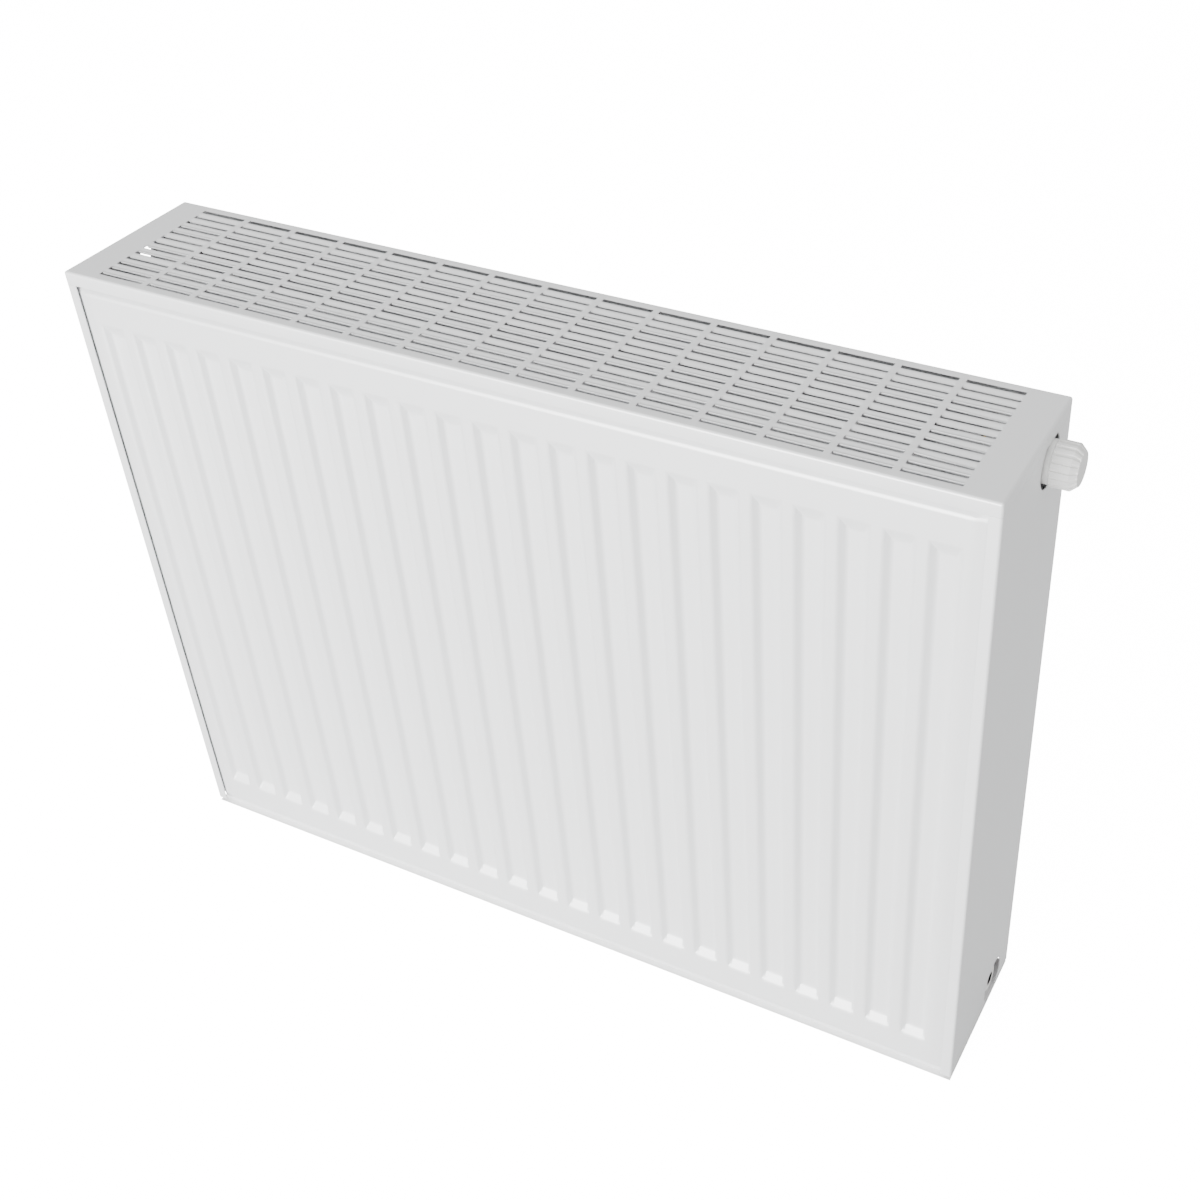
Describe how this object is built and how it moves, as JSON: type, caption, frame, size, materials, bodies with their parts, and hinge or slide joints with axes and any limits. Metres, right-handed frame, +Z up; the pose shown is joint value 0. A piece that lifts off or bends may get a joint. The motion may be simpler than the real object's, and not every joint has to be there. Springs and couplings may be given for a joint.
{
  "type": "panel radiator with valve",
  "caption": "White steel panel radiator with vertical pressed flutes, a slotted top grille, side covers and a built-in valve under a ribbed cap at the upper right.",
  "frame": {"origin": "middle of the footprint, at the height of the panels' lower seams", "axes": "+Z up, +X along the radiator towards the valve, +Y from the front towards the wall"},
  "size_m": [0.823, 0.1632, 0.6],
  "materials": {
    "white_powder_coat": "satin powder coat",
    "primed_steel": "satin, dip-primed and coated",
    "zinc_steel": "zinc plated",
    "brass": "turned",
    "rubber": "matt",
    "white_plastic": "moulded"
  },
  "bodies": {
    "root": {"front_panel_front_sheet": "white_powder_coat", "front_panel_rear_sheet": "white_powder_coat", "middle_panel_front_sheet": "white_powder_coat", "middle_panel_rear_sheet": "white_powder_coat", "rear_panel_front_sheet": "white_powder_coat", "rear_panel_rear_sheet": "white_powder_coat", "top_grille": "white_powder_coat", "right_side_cover": "white_powder_coat", "left_side_cover": "white_powder_coat", "hanging_lug_left_top": "white_powder_coat", "hanging_lug_left_bottom": "white_powder_coat", "hanging_lug_right_top": "white_powder_coat", "hanging_lug_right_bottom": "white_powder_coat", "front_convector": "primed_steel", "middle_convector": "primed_steel", "rear_convector": "primed_steel", "valve_tee": "primed_steel", "return_tee": "primed_steel", "vent_tee": "primed_steel", "left_bottom_tee": "primed_steel", "valve_link_tube": "primed_steel", "return_link_tube": "primed_steel", "vent_link_tube": "primed_steel", "left_bottom_link_tube": "primed_steel", "riser_pipe": "primed_steel", "return_nipple": "zinc_steel", "flow_nipple": "zinc_steel", "valve_spring": "zinc_steel", "vent_plug": "zinc_steel", "valve_insert": "brass", "gland_nut": "brass", "valve_insert_seal": "rubber", "spindle_seal": "rubber", "right_plug_seal": "rubber", "left_plug_seal": "rubber", "vent_plug_seal": "rubber", "right_blank_plug": "white_plastic", "left_blank_plug": "white_plastic", "grille_saddle_left_front": "white_plastic", "grille_saddle_left_middle": "white_plastic", "grille_saddle_right_front": "white_plastic", "grille_saddle_right_middle": "white_plastic"},
    "valve_pin": {"valve_pin": "zinc_steel", "valve_washer": "rubber"},
    "valve_cap": {"valve_cap": "white_plastic"},
    "preset_dial": {"preset_dial": "white_plastic"},
    "bleed_screw": {"bleed_screw": "brass"},
    "vent_nozzle": {"vent_nozzle": "white_plastic"}
  },
  "joints": [
    {"name": "pin_lift", "type": "slide", "parent": "root", "child": "valve_pin", "axis": [-1, 0, 0], "range_m": [0, 0.002], "deforming": ["valve_spring"]},
    {"name": "cap_turn", "type": "hinge", "parent": "valve_pin", "child": "valve_cap", "pos_m": [0.3985, 0.02035, 0.572], "axis": [1, 0, 0], "range_deg": [-480, 0]},
    {"name": "preset_turn", "type": "hinge", "parent": "root", "child": "preset_dial", "pos_m": [0.3905, 0.02035, 0.572], "axis": [1, 0, 0], "range_deg": [-315, 0]},
    {"name": "bleed_turn", "type": "hinge", "parent": "root", "child": "bleed_screw", "pos_m": [-0.4065, 0.02035, 0.572], "axis": [-1, 0, 0], "range_deg": [0, 540]},
    {"name": "nozzle_turn", "type": "hinge", "parent": "root", "child": "vent_nozzle", "pos_m": [-0.4085, 0.02035, 0.572], "axis": [-1, 0, 0], "continuous": true}
  ],
  "couplings": [
    {"joint": "pin_lift", "follows": "cap_turn", "m_per_rad": -0.00023873}
  ]
}
